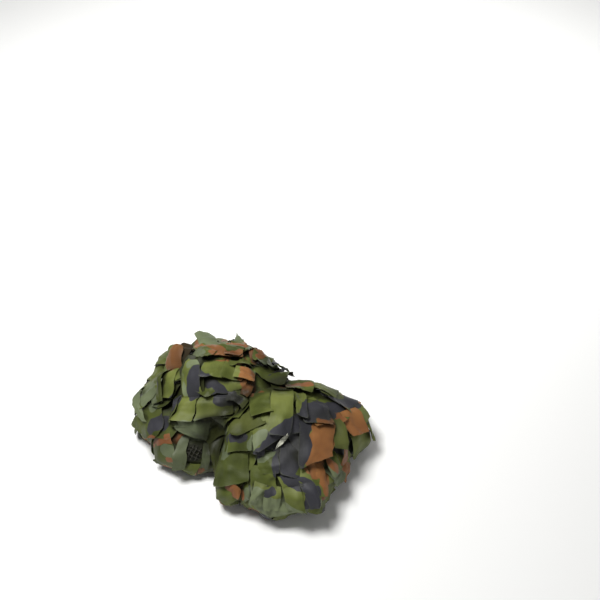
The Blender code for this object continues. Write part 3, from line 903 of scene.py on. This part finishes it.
def makeInner():
    step = inner["step"]
    points = (bedPoints + bedLifts * innerHeights[..., None])[::step, ::step]
    keep = mapShare[::step, ::step] < bed["foot"] + inner["pastFoot"]
    keep = keep[:-1, :-1] & keep[1:, :-1] & keep[:-1, 1:] & keep[1:, 1:]
    numbers = np.arange(points[..., 0].size).reshape(points.shape[:2])
    used, faces = np.unique(quadsOf(numbers, True, keep), return_inverse=True)
    points = points.reshape(-1, 3)[used]
    places = mapGrid[::step, ::step].reshape(-1, 2)[used]
    heights = innerHeights[::step, ::step].reshape(-1)[used]
    # painted shade in the openings, darkest at their bottom, times the shade under leaves and in hollows
    least, (dark, bright) = inner["openingLight"], inner["openingRim"]
    light = np.clip(least + (pastOpenings(places) - dark) / (bright - dark), least, 1)
    laid = {"points": points, "cloth": places * inner["cloth"], **inkDepths(points), "edge": farFromEdge,
            "tint": inner["tint"], "shade": light * shadeUnder(places, heights)}
    return makeCloth("inner_layers", faces.reshape(-1, 4).tolist(), laid, shadedInnerTaffeta)


# the cloth that the heap stands on, flat and a little rumpled
underside = {
    "rings": 22,
    "spokes": 96,
    "inset": 3.0,  # mm inside the foot
    "height": 0.5,
    "rumple": 0.9,  # mm
    "rumpleSize": 21.0,
    "tint": 0.3,
    # painted shade on the cloth under the heap
    "shade": 0.8,
}


def makeUnderside():
    rings, spokes = underside["rings"], underside["spokes"]
    foot = readMap(bedPoints, placeAt(bed["foot"], np.arange(spokes) * 2 * math.pi / spokes))
    foot = foot[:, :2] - heart[:2]
    foot *= 1 - underside["inset"] * mm / np.linalg.norm(foot, axis=1)[:, None]
    points = [(*heart[:2], underside["height"] * mm)]
    for ring in range(1, rings + 1):
        for place in heart[:2] + foot * ring / rings:
            rumple = max(0, noise.noise(Vector((*place, 0)) / (underside["rumpleSize"] * mm)))
            points.append((*place, (underside["height"] + underside["rumple"] * rumple) * mm))
    numbers = np.arange(1, len(points)).reshape(rings, spokes)
    numbers = np.concatenate([numbers, numbers[:, :1]], 1)
    faces = [(0, a, b) for a, b in zip(numbers[0], numbers[0, 1:])]
    faces += quadsOf(numbers, True)
    points = np.array(points)
    laid = {"points": points, "cloth": points[:, :2], **inkDepths(points), "edge": farFromEdge,
            "tint": underside["tint"], "shade": underside["shade"]}
    return makeCloth("underside", faces, laid, taffeta)


for piece in (makeInner(), makeUnderside()):
    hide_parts("net_bundle")
print("inner layers and underside made")


# the netting that the leaves are tied to, knotted of twisted cord
netting = {
    "pitch": 5.2,  # mm from knot to knot
    "way": (0.25, 1.0, 0.0),  # square to the cords that run across
    "stray": 1.625,  # mm by which the slack cords stray
    "strays": 22.0,  # how often they do over a share of 1 of the map
    "cord": 0.65,  # mm, half its thickness
    "knot": 0.75,  # how much thicker the cord is at a knot
    "knotLength": 0.8,
    "sag": 0.7,
    "slack": 0.9,  # mm up and down
    "height": 4.5,  # mm over the bed
    "girth": 3.4,  # mm of the pattern round a cord
    "sides": 7,
    "stations": 7,  # from knot to knot
}


def cordAlong(line, radii, points, faces, cloth, first):
    # a tube round a line of points, its cloth in metres round and along
    sides = netting["sides"]
    ways = unit(np.gradient(line, axis=0))
    aside = unit(np.cross(ways, np.array([0.13, 0.31, 0.94])))  # any way that no cord runs
    over = np.cross(aside, ways)
    run = np.concatenate([[0], np.cumsum(np.linalg.norm(np.diff(line, axis=0), axis=1))])
    numbers = len(points) + np.arange(len(line) * sides).reshape(-1, sides)
    for k, turn in np.ndindex(numbers.shape):
        angle = 2 * math.pi * turn / sides
        points.append(line[k] + radii[k] * (math.cos(angle) * aside[k] + math.sin(angle) * over[k]))
        cloth.append((first + turn / sides * netting["girth"] * mm, run[k]))
    faces += quadsOf(np.concatenate([numbers, numbers[:, :1]], 1))
    faces += [numbers[0, ::-1].tolist(), numbers[-1].tolist()]


def strandOver(start, way, count):
    # a cord's places on the map, from end to end
    stride = np.array([netting["pitch"] * mm / netting["stations"]])
    line = []
    for sense in (-1, 1):
        at, ahead = start, way[None] * sense
        run = [at[0]]
        for _ in range(count * netting["stations"]):
            at, ahead = stepOn(at, ahead, stride)
            run.append(at[0])
        line = run[::-1] if sense < 0 else line + run[1:]
    return np.array(line)


def makeNetting(material):
    points, faces, cloth = [], [], []
    pitch, stations = netting["pitch"], netting["stations"]
    for number, (x, y, wide) in enumerate(openings):
        centre = placeOnMap(x, y)
        out = readMap(bedFacing, centre)
        east = unit(np.cross(netting["way"], out))
        count = int(wide / pitch + 0.5)
        steps = np.arange(-count * stations, count * stations + 1)
        fromKnot = ((steps + stations / 2) % stations - stations / 2) * pitch / stations
        knot = netting["knot"] * np.exp(-(fromKnot / netting["knotLength"]) ** 2)
        radii = netting["cord"] * mm * (1 + knot)
        sagging = netting["height"] - netting["sag"] * abs(np.sin(math.pi * steps / stations))
        for turned, way in enumerate((east, np.cross(out, east))):
            for row in range(-count, count + 1):
                start, _ = stepOn(centre[None], np.cross(out, way)[None] * np.sign(row + 1e-9),
                                  np.array([abs(row) * pitch * mm]))
                places = strandOver(start, way, count)
                for k, place in enumerate(places):
                    stray = [noise.noise(Vector((*place, number + side)) * netting["strays"])
                             for side in (0.2, 0.6)]
                    places[k] = place + np.array(stray) * netting["stray"] * mm / bed["span"]
                height = sagging + netting["slack"] * np.array(
                    [noise.noise(Vector((k / stations * 0.5, row * 0.7, number + turned))) for k in steps])
                line = readMap(bedPoints, places) + readMap(bedLifts, places) * (height * mm)[:, None]
                inside = abs(steps) <= math.sqrt(max(0, count ** 2 - row ** 2)) * stations + 1
                if inside.sum() > 3:
                    cordAlong(line[inside], radii[inside], points, faces, cloth, row * 11 * mm)
    piece = newPiece("netting", points, faces, cloth, material)
    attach(piece, "root")
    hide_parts("backing_netting")


# twisted polyamide cord, dyed: dull, its lay as fine slanted ridges
twistedCord = {
    "colours": ("#17160b", "#302d1a"),  # deep and light
    "lay": 2.2,  # mm
    "relief": 0.3,
    "soil": 6.0,
    "roughness": (0.62, 0.8),
    "ior": 1.53,
}


def makeCordMaterial(look):
    material, add = newMaterial("twisted_cord")
    cloth = add("UVMap", {"uv_map": "cloth"})
    lay = add("TexWave", {"bands_direction": "DIAGONAL", "Scale": wavePeriod / (look["lay"] * mm),
                          "Distortion": 0.8, "Detail": 1}, {"Vector": cloth}).outputs["Fac"]
    soil = add("TexNoise", {"Scale": 1 / (look["soil"] * mm), "Detail": 2}, {"Vector": cloth})
    both = add("Math", {"operation": "MULTIPLY"}, {0: lay, 1: soil})
    deep, light = [linear(shade) for shade in look["colours"]]
    colour = add("Mix", {"data_type": "RGBA", 6: deep, 7: light}, {0: both})
    bump = add("Bump", {"Strength": 0.7, "Distance": look["relief"] * mm}, {"Height": lay})
    rough = add("MapRange", dict(zip(("To Min", "To Max"), look["roughness"])), {"Value": soil})
    shader = add("BsdfPrincipled", {"IOR": look["ior"], "Metallic": 0.0},
                 {"Base Color": colour.outputs[2], "Roughness": rough, "Normal": bump})
    add("OutputMaterial", {}, {"Surface": shader})
    return material


makeNetting(makeCordMaterial(twistedCord))
print("netting made")


# the floor, the light and the camera
studio = {
    "floor": "#f6f6f4",
    "floorRoughness": 0.9,
    "room": "#ffffff",
    "roomStrength": 0.10,
    "lens": 50,  # mm, for a sensor 36 mm wide
    "camera": (0.0761, -0.7804, 1.004),
    "tilt": 47,  # degrees up from straight down
}
lights = (
    {"name": "softbox", "place": (-0.42, -0.08, 1.55), "aim": (0, 0, 0), "size": 0.5, "power": 28},
    {"name": "fill", "place": (0.9, -1.0, 1.1), "aim": (0, 0, 0), "size": 1.6, "power": 4},
    # turned away from the net, to keep the floor behind it as pale as in front
    {"name": "backdrop", "place": (0.15, 1.0, 1.2), "aim": (0.15, 2.1, 0), "size": 1.4, "power": 24},
)
mesh = bpy.data.meshes.new("floor")
mesh.from_pydata([(-4, -4, 0), (4, -4, 0), (4, 4, 0), (-4, 4, 0)], [], [(0, 1, 2, 3)])
floor = addObject("floor", mesh)
paint, add = newMaterial("floor_paint")
shader = add("BsdfPrincipled", {"Base Color": linear(studio["floor"]),
                                "Roughness": studio["floorRoughness"]})
add("OutputMaterial", {}, {"Surface": shader})
mesh.materials.append(paint)
for light in lights:
    lamp = bpy.data.lights.new(light["name"], "AREA")
    lamp.size = light["size"]
    lamp.energy = light["power"]
    holder = addObject(light["name"], lamp)
    holder.location = light["place"]
    way = Vector(light["aim"]) - Vector(light["place"])
    holder.rotation_euler = way.to_track_quat("-Z", "Y").to_euler()
scene.world = bpy.data.worlds.new("room")
scene.world.use_nodes = True
room = scene.world.node_tree.nodes["Background"].inputs
room["Color"].default_value = linear(studio["room"])
room["Strength"].default_value = studio["roomStrength"]
scene.view_settings.view_transform = "Standard"

lens = bpy.data.cameras.new("camera")
lens.lens = studio["lens"]
lens.sensor_width = 36
camera = addObject("camera", lens)
camera.location = studio["camera"]
camera.rotation_euler = (math.radians(studio["tilt"]), 0, 0)
scene.camera = camera
print("stage set")
